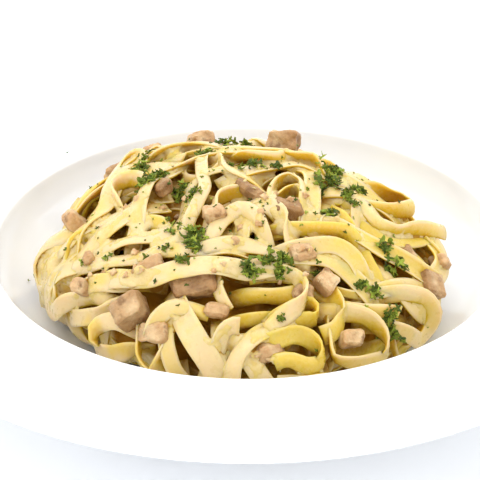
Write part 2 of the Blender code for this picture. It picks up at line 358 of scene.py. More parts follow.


# Noodles laid one by one through listed rows, in the order they are laid: rows of across and along on
# the map, height, and how upright the ribbon stands. Height and uprightness are 0 where they are left
# out.
HAND_LAID = {
    # the right side
    "right_ledge_back": ((34, 8), (45, 4, 1), (56, 2, 1), (64, 4)),
    "right_ledge": ((34, -2), (45, -3, 1), (56, -5, 1)),
    "right_fold": ((36, -21, 1), (41, -29, 2), (46, -37, 2), (52, -44, 1)),
    "right_top_curl": (
        (46, -7, 0, 0.6), (51, -6, 1, 1), (56, -4, 3, 1), (60, 0, 6, 1), (63, 6, 8, 1), (60, 12, 8, 1),
        (55, 12, 6, 1), (50, 10, 3, 1), (45, 6, 0, 0.6),
    ),
    "right_back_flat": ((40, 22, 1), (50, 18, 2), (60, 20, 2), (68, 12, 2, 0.2), (72, 4, 0, 0.3)),
    "right_turn_down": ((70, -6, 2, 0.5), (77, -10, 4, 0.6), (78, -18, 4, 0.5), (73, -26, 2, 0.2)),
    "right_edge_fill": ((58, -19), (67, -20, 2), (75, -24, 2), (80, -32, 1)),
    "right_rim_fill": ((69, 0), (75, -8, 2), (77, -16, 2), (74, -26, 1)),
    "right_under_reach": ((46, -17), (52, -20, 1), (59, -18, 2), (66, -12, 2), (73, -5, 3), (79, 0, 2)),
    "right_reach": (
        (40, -3), (45, -9, 1), (50, -15, 2, 0.3), (56, -15, 3, 0.9), (63, -9, 4, 1), (71, -3, 7, 1),
        (78, 6, 9, 1),
    ),
    "right_band": (
        (33, -24, 0, 0.3), (40, -27, 3, 0.1), (48, -29, 4), (57, -29, 4), (66, -29, 4), (76, -27, 2),
    ),
    "right_under_ham": ((54, -36), (62, -42, 2), (71, -43, 2), (79, -38, 1)),
    "right_patch": ((80, -24, 1), (71, -33, 2), (61, -39, 3), (52, -45, 2), (44, -50)),
    "right_thin_edge": ((33, -51, 1, 1), (39, -51, 1, 1), (45, -50, 1, 1)),
    "right_diagonal": ((26, -31), (33, -37, 2), (42, -43, 2), (50, -49, 1)),
    "right_low_curl": (
        (54, -46, 0, 0.8), (62, -42, 2, 1), (70, -40, 4, 1), (77, -43, 4, 1), (75, -50, 4, 1),
        (67, -54, 4, 1), (58, -57, 3, 0.9), (52, -58, 0, 0.8),
    ),
    "right_shelf": ((36, -58, 1, 0.9), (44, -57, 2, 0.9), (52, -55, 3, 0.9), (58, -52, 2, 0.9)),
    # the left side
    "left_stray_end": ((-74, -15, 1), (-83, -18, 4), (-90, -21, 6)),
    "left_outer_low": ((-72, 2, 1, 0.1), (-82, -8, 2, 0.1), (-85, -20, 2, 0.1), (-80, -32, 1, 0.1)),
    "left_bulge_inner": ((-62, -14), (-70, -18, 2), (-77, -24, 3), (-78, -34, 2, 0.1)),
    "left_bulge_fill": ((-64, -8), (-73, -9, 3), (-80, -13, 3), (-80, -21, 2)),
    "left_bulge": (
        (-62, -6, 1), (-71, -4, 3), (-79, -2, 4, 0.1), (-86, -6, 5, 0.2), (-88, -14, 4, 0.2),
        (-84, -22, 3, 0.1), (-78, -28),
    ),
    "left_yellow_outer": (
        (-70, 8, 1, 0.2), (-66, 16, 3, 0.2), (-58, 24, 4, 0.3), (-50, 28, 3, 0.3), (-42, 28, 1),
    ),
    "left_yellow": ((-70, 2), (-62, 8, 2), (-54, 14, 3, 0.1), (-47, 20, 2, 0.1), (-40, 24)),
    "left_spot": ((-72, -17, 0, 0.7), (-66, -14, 2, 0.9), (-60, -15, 2, 0.9), (-56, -20, 0, 0.7)),
    "left_long": ((-36, -5), (-46, -9, 2), (-56, -11, 3), (-66, -12, 3), (-75, -13, 2)),
    "left_long_lower": ((-38, -14), (-48, -18, 2), (-58, -21, 2), (-68, -24, 1)),
    "left_wide_top": (
        (-38, 26, 1, 0.2), (-44, 18, 3, 0.1), (-48, 9, 4), (-51, 0, 3), (-57, -8, 3), (-65, -14, 1),
    ),
    "left_small_arch": (
        (-47, -3, 0, 0.7), (-47, 4, 3, 1), (-42, 9, 4, 1), (-37, 6, 4, 1), (-36, 0, 3, 0.8),
        (-40, -4, 0, 0.4),
    ),
    "left_neighbour": ((-20, 0, -2, 0.1), (-22, -8, -2, 0.2), (-22, -16, -2, 0.1), (-22, -25, -1)),
    "left_wide": ((-25, 11), (-31, 3, 2), (-35, -5, 3), (-38, -13, 3), (-40, -21, 2), (-43, -29)),
    "left_golden": ((-40, -22, 0, 0.8), (-35, -22, 1, 1), (-30, -25, 1, 1), (-28, -31, 0, 0.7)),
    "left_cross": ((-58, -26), (-47, -28, 1), (-36, -30, 2), (-26, -31, 1), (-16, -34)),
    "left_low": (
        (-80, -38, 1, 0.3), (-73, -45, 3, 0.4), (-65, -51, 3, 0.6), (-57, -54, 2, 0.7),
        (-48, -53, 0, 0.5),
    ),
    "left_ham_loop": (
        (-67, -27, 0, 0.1), (-75, -25, 3, 0.2), (-81, -29, 4, 0.4), (-79, -36, 4, 0.7),
        (-71, -41, 4, 0.8), (-63, -45, 3, 0.7), (-56, -49, 1, 0.4),
    ),
    "left_patch": ((-71, -36, 0, 0.1), (-63, -41, 3), (-55, -44, 4), (-46, -47, 3), (-37, -48, 1)),
    "left_over": (
        (-73, -24), (-66, -28, 2), (-57, -33, 3), (-48, -36, 3), (-38, -38, 2), (-28, -38, 2),
        (-16, -39, 1), (-4, -40),
    ),
    # the crown
    "crown_back_edge": ((-34, 27), (-22, 32, 1), (-10, 36, 1), (2, 39, 1), (14, 38)),
    "crown_back_second": ((-8, 30, 0, 0.2), (2, 30, 2, 0.3), (12, 29, 2, 0.2), (22, 26, 1), (32, 21)),
    "back_left_fill": ((-49, 16), (-44, 25, 2), (-36, 31, 2), (-26, 33, 2), (-18, 35)),
    "back_fill": ((-38, 20, 1), (-29, 27, 3), (-20, 30, 3), (-10, 31, 1)),
    "back_left_peak": (
        (-47, 18, 1, 0.5), (-47, 25, 3, 0.6), (-43, 30, 4, 0.6), (-38, 29, 4, 0.6), (-36, 23, 3, 0.5),
        (-37, 16, 1, 0.3),
    ),
    "back_left_second": (
        (-38, 26, 1, 0.4), (-35, 33, 3, 0.6), (-30, 35, 4, 0.6), (-26, 31, 3, 0.4), (-26, 24, 1, 0.2),
    ),
    "crown_long": ((-45, 20), (-34, 14, 1), (-22, 13, 2), (-11, 17, 2, 0.2), (-2, 23)),
    "crown_across": ((-14, 3), (-4, 7, 0, 0.1), (6, 13, 1, 0.2), (14, 19, 2, 0.2), (22, 22)),
    "crown_second": ((0, 2, -1), (10, 5, 0, 0.2), (20, 8, 1, 0.3), (31, 6)),
    "crown_down": ((-13, 21), (-14, 11, 1), (-14, 2, 1), (-14, -7, 2), (-16, -16, 2), (-19, -25)),
    "crown_bit_left": ((-9, 15, -1, 0.4), (-6, 9, 0, 0.6), (-2, 4, 0, 0.5), (3, 0, -1, 0.3)),
    "crown_bit_middle": ((2, 16, 0, 0.5), (6, 11, 3, 0.8), (12, 10, 3, 0.8), (16, 14, 1, 0.5)),
    "crown_bit_right": ((15, 18, 0, 0.3), (20, 14, 3, 0.6), (26, 14, 3, 0.6), (30, 9, 0, 0.3)),
    "crown_loop": (
        (-11, -24, 0, 0.4), (-9, -15, 1, 0.7), (-3, -10, 1, 0.8), (4, -11, 1, 0.7), (9, -16, 0, 0.5),
    ),
    "crown_right_down": ((22, 8), (25, 1, 2, 0.1), (25, -7, 2, 0.1), (25, -15, 1), (24, -23)),
    "crown_arch_inner": ((13, -12, 0, 0.8), (16, -8, 1, 1), (20, -8, 1, 1), (22, -14, 0, 0.8)),
    "crown_arch": (
        (11, -20, 0, 0.6), (11, -11, 2, 0.8), (13, -4, 3, 0.9), (17, -1, 3, 1), (21, -5, 3, 0.9),
        (22, -12, 2, 0.7), (22, -20, 0, 0.4),
    ),
    "middle_band": ((-12, -39), (0, -38, 1), (12, -41, 2), (24, -45, 1)),
    "middle_arch_left": (
        (-10, -33), (-6, -26, 2, 0.3), (0, -22, 3, 0.6), (4, -26, 3, 0.8), (7, -33, 1, 0.9),
    ),
    "middle_arch_right": (
        (6, -21, 1, 0.3), (11, -23, 4, 0.5), (15, -28, 4, 0.6), (18, -35, 2, 0.3), (21, -43),
    ),
    "right_inner": (
        (15, -31, 0, 0.6), (23, -31, 2, 0.9), (30, -30, 3, 1), (36, -29, 3, 1), (41, -31, 1, 0.7),
    ),
    "right_middle": ((16, -41), (24, -38, 2, 0.2), (32, -36, 3, 0.2), (39, -38, 2, 0.1), (44, -43)),
    # the front
    "loop_inner": ((-2, -67, -2, 0.5), (4, -66, -1, 0.7), (11, -65, -1, 0.7)),
    "loop_wall": ((5, -58, -1, 0.9), (10, -58, 0, 0.9), (16, -58, 1, 0.9), (21, -57, 2, 0.9)),
    "front_top_band": ((-8, -76), (0, -75, 2, 0.1), (8, -74, 2, 0.4), (14, -73, 0, 0.7)),
    # two that close gaps on the right and behind the crown
    "right_between": ((14, -44), (22, -43, 1), (30, -42, 1), (38, -44), (46, -49)),
    "crown_back_under": ((-32, 23, -3, 1), (-22, 26, -2, 1), (-12, 28, -2, 1), (-2, 31, -3, 1)),
    # the front again
    "front_smooth_left": ((-7, -76), (-7, -82, 2), (-6, -89, 1)),
    "small_tube": (
        (17, -63, 0, 1), (21, -60, 2, 1), (26, -60, 3, 1), (27, -64, 3, 1), (22, -66, 2, 1),
        (18, -70, 1, 0.8),
    ),
    "short_drape": ((33, -55, 0, 0.4), (37, -60, 2, 0.7), (35, -66, 3, 0.8), (29, -70, 2, 0.8)),
    "front_right_loop": (
        (34, -60, -1, 1), (41, -59, 1, 1), (48, -59, 3, 1), (54, -62, 4, 1), (55, -67, 5, 1),
        (49, -71, 5, 1), (41, -74, 5, 1), (35, -75, 3, 1), (34, -70, 0, 1),
    ),
    "big_loop": (
        (3, -51, 2, 1), (9, -50, 2, 1), (15, -50, 3, 1), (20, -52, 4, 1), (22, -57, 5, 1),
        (20, -62, 5, 0.9), (15, -66, 5, 0.6), (10, -71, 4, 0.4),
    ),
    "hanging_end": ((-9, -49, 2, 0.3), (-8, -55, 3, 0.4), (-6, -60, 3, 0.5), (-3, -65, 2, 0.6)),
    "long_arch": (
        (-54, -43, 1), (-43, -47, 3), (-32, -50, 5), (-21, -50, 7.5, 0.1), (-12, -50, 8, 0.1),
        (-4, -50, 6, 0.1), (3, -50, 3), (10, -48),
    ),
    "front_left_corner": (
        (-42, -64), (-49, -60, 3, 0.2), (-57, -59, 4, 0.5), (-60, -64, 4, 0.8), (-53, -69, 3, 1),
        (-44, -71, 1, 1),
    ),
    "front_left_stand": (
        (-39, -69, 0, 1), (-39, -75, 3, 1), (-34, -80, 4, 1), (-30, -77, 3, 1), (-29, -71, 1, 0.6),
    ),
    "front_left_band": ((-27, -66, 1), (-27, -73, 4, 0.1), (-25, -80, 4, 0.1), (-21, -87, 2)),
    "front_diagonal": ((-22, -61, 1), (-19, -68, 4), (-15, -75, 5), (-10, -82, 4), (-5, -89, 1)),
    "pink_fold": ((-11, -65, 2), (-18, -63, 4), (-24, -62, 5), (-30, -65, 4, 0.2), (-34, -70, 2, 0.6)),
    "front_stub": ((-8, -76, 1, 0.9), (-6, -72, 3, 1), (-3, -70, 4, 1), (0, -70, 3, 1)),
    "front_smooth_low": ((0, -77, 2), (5, -82, 4), (11, -87, 4), (18, -92, 1)),
    "front_smooth": ((9, -71), (3, -75, 3), (-2, -81, 4), (-4, -90, 3)),
    "front_low_band": ((14, -86, 2, 0.3), (22, -85, 4, 0.3), (31, -82, 4, 0.2), (41, -82, 2)),
    "front_curl": (
        (9, -75, 0, 0.8), (14, -73, 2, 0.9), (19, -71, 2, 1), (25, -71, 2, 1), (30, -74, 3, 1),
        (30, -78, 4, 1), (24, -80, 4, 1), (17, -80, 4, 1), (11, -82, 2, 0.9),
    ),
}

# How wide some of them are against the rest
WIDTHS = {
    "hanging_end": 0.85, "loop_inner": 0.7, "pink_fold": 0.85, "right_under_reach": 0.7,
    "front_stub": 0.85, "right_thin_edge": 0.45, "long_arch": 1.15, "crown_down": 0.72,
    "right_rim_fill": 1.2, "right_band": 1.1, "front_diagonal": 1.3, "big_loop": 1.08,
    "left_bulge": 1.15, "left_long": 1.1, "left_wide_top": 1.15,
}

# Painted shade: the tone that marks ribbons whose inner face shows; the pasta's material paints those
# faces a gold that stands in for the shade and warm bounced light inside loops
SHADED_INNER_FACES = {
    "right_inner": -0.85, "left_golden": -1, "right_fold": -1, "crown_arch_inner": -1,
    "small_tube": -0.8, "loop_inner": -1, "loop_wall": -1, "front_curl": -0.5, "left_spot": -1,
    "left_yellow_outer": -1,
}

# Holes that the loose noodles keep out of: across, along and radius on the map
HOLES = (
    (-31, -51, 6), (-10, -60, 4), (-26, -65, 5), (-14, -67, 6), (-20, -80, 6), (0, -57, 7),
    (1, -68, 5), (15, -83, 4), (12, -59, 6), (28, -62, 4), (38, -53, 6), (36, -46, 4), (46, -66, 8),
    (65, -48, 7), (61, -15, 4), (56, 6, 6), (-42, 3, 4), (-26, -13, 6), (17, -11, 5), (-57, -57, 6),
    (11, -20, 4),
)

# Rays towards the sky from each point, and how far they look, in mm
SKY_RAYS, SKY_REACH = 6, 22

# The sauce: its skin's mesh, how deep it fills the heap, its level against the noodles, its small
# clots, and where it lies thicker, as across, along and radius on the map and height
SAUCE_VOXEL = 1.0
SAUCE_TRIANGLES = 190000
SAUCE_FILL = 5
SAUCE_LEVEL = -0.38
SAUCE_LUMPS, LUMPS_SPREAD, LUMPS_MIDDLE, LUMP_SIZE = 240, (34, 28), (-6, -6), (0.8, 1.6)
SAUCE_POOLS = (
    (-10, -12, 34, 0.15), (-2, 14, 26, 0.18), (-45, -28, 20, 0.1), (-79, -17, 11, 0.35),
    (24, -76, 9, -0.2), (-38, -25, 4, 0.5), (-80, -19, 5, 0.5), (58, 2, 9, -0.4),
    (-37, -46, 8, 0.9), (-3, -50, 5, 0.9), (22, -47, 7, 0.9), (3, -33, 8, 0.25), (7, -81, 8, 0.7),
    (-41, -12, 6, 0.8), (-10, -72, 5, 0.6), (-55, -22, 8, 0.4), (-60, -40, 8, 0.5),
    (14, -20, 7, 0.5), (-30, -30, 10, 0.3), (32, -30, 8, 0.4),
)

# Parsley: across, along and radius on the map, and how many flakes
PARSLEY = (
    (-37, 15, 2.5, 7), (-33, 20, 2.5, 8), (-34, -1, 3, 12), (-30, 4, 3.5, 16), (-24, 1, 3.5, 16),
    (-18, -11, 3, 10), (-16, -31, 3, 10), (-17, -36, 4, 18), (-12, 20, 3, 7), (-6, 38, 2.5, 5),
    (2, 42, 2.5, 6), (-10, -5, 1.5, 3), (-11, -16, 1.5, 4), (-4, 7, 1.5, 3), (4, 7, 3.5, 9),
    (12, 4, 1.8, 4), (26, 17, 2.2, 9), (33, 11, 4, 20), (31, 2, 4, 20), (38, -4, 2, 5),
    (40, -10, 1.5, 4), (31, -18, 1.8, 4), (-27, -24, 1.5, 3), (-24, -27, 1.5, 3),
    (-25, -31, 1.5, 4), (-27, -38, 1.5, 3), (-35, -41, 1.2, 3), (-62, -31, 1.2, 2),
    (-52, -34, 1.2, 2), (-19, -47, 2, 5), (3, -50, 3, 11), (9, -46, 2.5, 7), (15, -45, 2.5, 8),
    (14, -50, 2, 5), (27, -46, 1.5, 3), (43, -47, 1.8, 5), (50, -47, 1.8, 5), (42, 1, 2, 6),
    (57, -33, 3, 12), (51, -28, 2, 5), (54, -55, 2.5, 7), (57, -58, 2, 5), (62, -60, 2, 5),
    (50, -64, 1.2, 2), (14, -67, 1.2, 3),
)
FLAKES = 2.6  # how many times the table's number
SPECKS, SPECKS_SPREAD, SPECKS_MIDDLE = 300, (38, 32), (0, -2)
TUFT_FROM = 1.5  # places wider than this are tufts, of larger flakes
TUFT_FLAKE, SMALL_FLAKE, SPECK = (1.1, 2.7), (0.8, 1.6), (0.3, 1.2)  # smallest and largest, in mm
PLATE_FLAKE, PLATE_SPECK = (1.1, 2.2), (0.4, 0.9)

# Parsley on the plate's wall and rim, in the plate's own x and y
PARSLEY_ON_PLATE = (
    (55, -68, 4, 12), (-65, -52, 2, 5), (-70, -53, 2, 3), (-74, 67, 1, 1), (-80, 19, 1, 1),
    (-56, 52, 1, 1), (72, 40, 1, 1), (70, -52, 1, 2), (-63, -69, 1, 1), (-84, 4, 1, 1),
    (66, -60, 2, 4),
)

# Small bits of ham in the sauce: across, along and radius on the map, and how many
HAM_BIT_SIZE = (0.9, 2.2)
HAM_BITS = (
    (-40, -45, 6, 8), (-4, -50, 6, 4), (22, -48, 8, 6), (3, -32, 8, 4), (6, -80, 8, 4),
    (-41, -12, 6, 4), (-58, -38, 8, 4), (14, -20, 8, 4), (-24, -8, 7, 3), (30, -10, 8, 3),
)

# How far the dice go from pink towards their toasted colour where it differs from the rest, from 0 for
# pink. Mostly a crust, but the large die in front lies in a shaded hollow under the long arch, and its
# dark colour there is painted shade
USUALLY_BROWNED = 0.25
BROWNED_AND_SHADED = {
    "ham_back_right": 0.5, "ham_back_left": 0.35, "ham_left_edge": 0.3, "ham_front_large": 1.3,
    "ham_crown_strip": 1.0, "ham_crown_right": 1.0, "ham_crown_left": 0.6, "ham_left_corner": 0.5,
    "ham_left_flank_small": 0.7, "ham_right_flank": 0.6, "ham_right_cube": 0.2,
    "ham_front_left_large": 0.42, "ham_right_corner": 0.45, "ham_front_strip": 0.6,
}

# Dice that are lumpier and rounder than the rest
ROUNDED = ("ham_back_right", "ham_back_left", "ham_crown_right", "ham_front_left_flat", "ham_right_gap")


def ham_circles():
    """The place and the radius on the map that each of the frame's ham dice takes up."""
    found = []
    for name in sorted(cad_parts):
        if name.startswith("ham_"):
            low, high = (np.array(corner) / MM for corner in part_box(name))
            place, _ = DOME.unroll((low + high) / 2)
            found.append((place, (high - low).mean() / 2 * 0.75 + NOODLE_WIDTH / 2))
    return found


def within(path, circles):
    """How many millimetres of a path run inside circles of the map."""
    total = 0
    for place, radius in circles:
        total += (np.linalg.norm(path - place, axis=1) < radius).sum()
    return total


LOOSE_MOST, LOOSE_TRIES, LOOSE_LENGTH = 400, 12, (70, 220)
CURLS, CURL_SHARES = (0, 1, 2), (0.35, 0.4, 0.25)
MISS_HAM, MISS_HAM_LAST, MISS_HOLES = 0.15, 5, 0.3  # how strongly, and within how much of the top


def wanted_level(places):
    """How high the loose noodles come: less where the noodles laid by hand cover them."""
    along = places[..., 1]
    return -1.8 - 2.4 * smoothstep(-along, 25, 50) + 1.3 * smoothstep(along, 20, 40)


def fill_heap(seed=5):
    """Loose noodles, each on the lowest of some tries, until the heap has grown to its level."""
    rng = np.random.default_rng(seed)
    noodles = []
    cells = np.indices(PILE.top.shape).transpose(1, 2, 0) - Pile.HALF
    inside = np.linalg.norm(cells, axis=-1) < MAP_EDGE - 8
    wanted = wanted_level(cells[inside])
    ham = ham_circles()
    holes = [(np.array((across, along)), radius) for across, along, radius in HOLES]
    for _ in range(LOOSE_MOST):
        short = (wanted - PILE.top[inside]).mean()
        if short < 0:
            break
        best = None
        for _ in range(LOOSE_TRIES):
            start_way = MAP_EDGE * math.sqrt(rng.uniform(0.02, 1))
            start_angle = rng.uniform(0, 2 * math.pi)
            start = (start_way * math.cos(start_angle), start_way * math.sin(start_angle))
            length = rng.uniform(*LOOSE_LENGTH)
            curls = rng.choice(CURLS, p=CURL_SHARES)
            path, bend = wander(rng, start, rng.uniform(0, 2 * math.pi), length, curls)
            over = PILE.level(path) - wanted_level(path)
            cost = over.mean() + np.percentile(over, 90)
            cost += MISS_HAM * within(path, ham) * (short < MISS_HAM_LAST)
            cost += MISS_HOLES * within(path, holes)
            if best is None or cost < best[0]:
                best = (cost, path, bend)
        _, path, bend = best
        noodles.append(lay_noodle(path, roll_of(bend, rng), rng))
    return noodles


def lay_all_by_hand(seed=11):
    laid = []
    for name, points in HAND_LAID.items():
        rng = np.random.default_rng([seed, *name.encode()])
        width = NOODLE_WIDTH * rng.uniform(0.92, 1.08) * WIDTHS.get(name, 1)
        noodle = lay_by_hand(points, width, rng)
        noodle.tone = SHADED_INNER_FACES.get(name, noodle.tone)
        laid.append(noodle)
    return laid


# A ribbon's section: shares of half the width and half the thickness, round the ribbon
SECTION = np.array(
    [(1, 0), (0.95, 0.7), (0.6, 1), (0, 1), (-0.6, 1), (-0.95, 0.7)]
    + [(-1, 0), (-0.95, -0.7), (-0.6, -1), (0, -1), (0.6, -1), (0.95, -0.7)]
)
PRESSED, PRESSED_FROM = 0.35, 68  # the crown above this height is pressed a little flat
STATION = 2  # path points from one ring of the mesh to the next
RUFFLE_LENGTH, RUFFLE_SIZE = (15, 26), (0.15, 0.75)


def tube_quads(rings, count):
    """The quads of a tube of rings that each have that many vertices."""
    first = np.arange(rings - 1)[:, None] * count + np.arange(count)
    second = np.arange(rings - 1)[:, None] * count + (np.arange(count) + 1) % count
    return np.stack([first, second, second + count, first + count], -1).reshape(-1, 4)


def noodle_mesh(noodle, rng):
    """Vertices and quads of one ribbon, cupped and ruffled, and which vertices are on its edges."""
    stations = np.arange(0, len(noodle.centre), STATION)
    centre, across = noodle.centre[stations], noodle.across[stations]
    facing = noodle.facing[stations]
    count = len(stations)
    along = stations.astype(float)
    half_width = noodle.width / 2 * (1 + 0.05 * smooth(rng.normal(size=count), 4) * 3)
    cup = 0.16 * smooth(rng.normal(size=count), 8) * 4
    ruffles = []
    for _ in range(2):
        wave = 2 * math.pi * along / rng.uniform(*RUFFLE_LENGTH) + rng.uniform(0, 6)
        size = rng.uniform(*RUFFLE_SIZE) * smoothstep(smooth(rng.normal(size=count), 6) * 4, -0.5, 1.5)
        ruffles.append(size * np.sin(wave))
    side, face = SECTION[:, 0], SECTION[:, 1]
    lateral = half_width[:, None] * side
    normal = NOODLE_THICKNESS / 2 * face * (1 - 0.25 * side**2)
    normal = normal + cup[:, None] * half_width[:, None] * side**2
    edge = np.abs(side) ** 3
    normal = normal + np.where(side > 0, ruffles[0][:, None], ruffles[1][:, None]) * edge
    points = centre[:, None] + across[:, None] * lateral[..., None]
    points = points + facing[:, None] * normal[..., None]
    radius = np.linalg.norm(points[..., :2], axis=-1)
    points[..., 2] = np.maximum(points[..., 2], wall_height(radius) + CLEARANCE)
    points[..., 2] -= PRESSED * np.maximum(points[..., 2] - PRESSED_FROM, 0)
    quads = tube_quads(count, len(SECTION))
    return points.reshape(-1, 3), quads, np.tile(np.abs(side) > 0.9, count)


def mesh_object(name, points, faces):
    mesh = bpy.data.meshes.new(name)
    mesh.from_pydata([tuple(point) for point in points * MM], [], faces)
    mesh.validate()
    mesh.update()
    mesh.shade_smooth()
    obj = bpy.data.objects.new(name, mesh)
    bpy.context.scene.collection.objects.link(obj)
    return obj


def join_noodles(name, noodles, seed):
    """One mesh of many ribbons, with each ribbon's tone as an attribute."""
    rng = np.random.default_rng(seed)
    points, faces, tones, edges = [], [], [], []
    base, ring = 0, len(SECTION)
    for noodle in noodles:
        ribbon, quads, edge = noodle_mesh(noodle, rng)
        points.append(ribbon)
        edges.append(edge)
        faces += (quads + base).tolist()
        faces.append(list(range(base + ring - 1, base - 1, -1)))
        faces.append(list(range(base + len(ribbon) - ring, base + len(ribbon))))
        tones.append(np.full(len(ribbon), noodle.tone))
        base += len(ribbon)
    points = np.concatenate(points)
    obj = mesh_object(name, points, faces)
    add_attribute(obj, "tone", np.concatenate(tones))
    add_attribute(obj, "edge", np.concatenate(edges))
    add_exposure(obj, points)
    return obj


def add_attribute(obj, name, values):
    attribute = obj.data.attributes.new(name, "FLOAT", "POINT")
    attribute.data.foreach_set("value", values.astype(np.float32))


def pile_smoothed(reach):
    """The pile's top with its noodles blurred away."""
    return smooth(smooth(PILE.top, reach).T, reach).T


def add_exposure(obj, points):
    """Marks how deep each point lies in a hollow, and how far its face looks out of the heap."""
    places, heights = DOME.unroll(points)
    cells = PILE.cells(places)
    around = pile_smoothed(4)[cells[:, 0], cells[:, 1]]
    add_attribute(obj, "hollow", np.clip((around - heights) / 8, 0, 1))
    dry = 0.8 * smoothstep(places[:, 0], 5, 45) + 0.4 * smoothstep(-places[:, 1], 50, 75)
    add_attribute(obj, "creamy", 1 - dry)
    normals = np.empty(len(points) * 3, np.float32)
    obj.data.vertices.foreach_get("normal", normals)
    outward = (normals.reshape(-1, 3) * DOME.normals(places)).sum(-1)
    add_attribute(obj, "outward", np.clip(outward, -1, 1) / 2 + 0.5)


def make_core(name, depth):
    """The heap under the noodles, with their relief."""
    rings, segments = 48, 120
    ways = np.linspace(0.5, DOME.way[-1], rings)
    angles = np.arange(segments) * 2 * math.pi / segments
    places = ways[:, None, None] * np.stack([np.cos(angles), np.sin(angles)], -1)
    rng = np.random.default_rng(3)
    relief = smooth(smooth(rng.normal(size=(rings, segments)), 2).T, 2).T * 4
    deeper = np.zeros(relief.shape)
    for across, along, radius in HOLES:
        away = np.linalg.norm(places - (across, along), axis=-1) / radius
        deeper = np.maximum(deeper, np.exp(-(away**2)) * (HOLE_DEPTH - depth))
    points = DOME.place(places, -depth - 0.5 - deeper + np.clip(relief, -1.5, 0.5))
    radius = np.linalg.norm(points[..., :2], axis=-1)
    points[..., 2] = np.maximum(points[..., 2], wall_height(radius) + CLEARANCE)
    flat = points.reshape(-1, 3)
    faces = tube_quads(rings, segments)[:, (0, 3, 2, 1)].tolist()
    faces.append(list(range(segments)))
    faces.append(list(range(len(flat) - 1, len(flat) - 1 - segments, -1)))
    return mesh_object(name, flat, faces)


def joined_mesh(pieces):
    """One mesh of what the pieces look like with their modifiers."""
    depsgraph = bpy.context.evaluated_depsgraph_get()
    joined = bmesh.new()
    for piece in pieces:
        mesh = bpy.data.meshes.new_from_object(piece.evaluated_get(depsgraph))
        joined.from_mesh(mesh)
        bpy.data.meshes.remove(mesh)
    return joined


def apply_modifiers(obj):
    depsgraph = bpy.context.evaluated_depsgraph_get()
    before = obj.data
    obj.data = bpy.data.meshes.new_from_object(obj.evaluated_get(depsgraph))
    obj.modifiers.clear()
    bpy.data.meshes.remove(before)


def read_vertices(mesh, what):
    values = np.empty(len(mesh.vertices) * 3, np.float32)
    mesh.vertices.foreach_get(what, values)
    return values.reshape(-1, 3).astype(float)


def mark_openness(obj, tree, seed=29):
    """Marks how much of the sky each point sees: little in hollows and inside loops."""
    rng = np.random.default_rng(seed)
    points, normals = read_vertices(obj.data, "co"), read_vertices(obj.data, "normal")
    leaning = rng.normal(size=(SKY_RAYS, 3)) * 0.75
    seen = np.zeros(len(points))
    for lean in leaning:
        directions = unit(normals + unit(lean + (0, 0, 0.5)))
        starts = points + normals * 0.3 * MM
        for i, (start, direction) in enumerate(zip(starts.tolist(), directions.tolist())):
            if tree.ray_cast(start, direction, SKY_REACH * MM)[0] is None:
                seen[i] += 1
    add_attribute(obj, "open", seen / SKY_RAYS)


def mark_depth(skin, tree):
    """Marks how deep the cream lies over what is under it."""
    depths = [tree.find_nearest(Vector(point))[3] for point in read_vertices(skin.data, "co")]
    add_attribute(skin, "depth", np.array(depths) / MM)


def sauce_thickness(points):
    """How far the sauce stands over the softened skin of the heap: under it where it is dry."""
    broad = np.array([noise.noise(Vector(point) / 13) for point in points])
    fine = np.array([noise.noise(Vector(point) / 4.5 + Vector((7, 3, 5))) for point in points])
    grain = np.array([noise.noise(Vector(point) / 2.0) for point in points])
    thickness = SAUCE_LEVEL + 0.5 * broad + 0.35 * fine + 0.35 * grain
    places, _ = DOME.unroll(points)
    for across, along, radius, height in SAUCE_POOLS:
        away = np.linalg.norm(places - (across, along), axis=-1) / radius
        thickness += height * np.exp(-(away**2))
    return thickness


def make_sauce(pieces):
    """Cream that fills the creases and lies on the noodles in patches: the heap's skin, softened."""
    fill = make_core("sauce_fill", SAUCE_FILL)
    joined = joined_mesh(pieces + [fill])
    bpy.data.objects.remove(fill)
    skin = mesh_object("sauce", np.zeros((0, 3)), [])
    joined.to_mesh(skin.data)
    joined.free()
    remesh = skin.modifiers.new("Remesh", "REMESH")
    remesh.mode = "VOXEL"
    remesh.voxel_size = SAUCE_VOXEL * MM
    soften = skin.modifiers.new("Soften", "SMOOTH")
    soften.factor, soften.iterations = 0.5, 9
    apply_modifiers(skin)
    points = read_vertices(skin.data, "co") / MM
    normals = read_vertices(skin.data, "normal")
    points += normals * sauce_thickness(points)[:, None]
    skin.data.vertices.foreach_set("co", (points * MM).ravel())
    thin = skin.modifiers.new("Thin", "DECIMATE")
    thin.ratio = min(1, SAUCE_TRIANGLES / 2 / len(skin.data.polygons))
    apply_modifiers(skin)
    skin.data.shade_smooth()
    add_exposure(skin, read_vertices(skin.data, "co") / MM)
    skin.data.materials.append(sauce_material())
    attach(skin, "root")
    return skin


# Parsley and ham bits


class Surface:
    """What lies on top of the heap, where things can be put down."""

    def __init__(self, pieces):
        joined = joined_mesh(pieces)
        self.tree = BVHTree.FromBMesh(joined)
        joined.free()

    def on_heap(self, place):
        """The point and the normal of the surface over a place on the map."""
        place = np.array(place, float)
        start = DOME.place(place, 25.0)
        down = -DOME.normals(place)
        point, normal, _, _ = self.tree.ray_cast(Vector(start * MM), Vector(down))
        if point is None:
            return None
        normal = np.array(normal)
        if normal @ down > 0:
            normal = -normal
        return np.array(point) / MM, unit(normal - 0.6 * down)


def on_plate(place):
    """The point and the normal of the plate's glaze."""
    radius = math.hypot(*place)
    around = np.array(place) / radius
    slope = wall_height(radius + 0.5) - wall_height(radius - 0.5)
    normal = unit(np.array((*(-around * slope), 1.0)))
    return np.array((*place, float(wall_height(radius)))), normal


def turned_frame(normal, rng, tilt):
    """Three directions at a random turn about the normal, tilted away from it at random."""
    leaning = unit(normal + rng.normal(size=3) * tilt)
    first = unit(np.cross(leaning, rng.normal(size=3)))
    return np.array((first, np.cross(leaning, first), leaning))


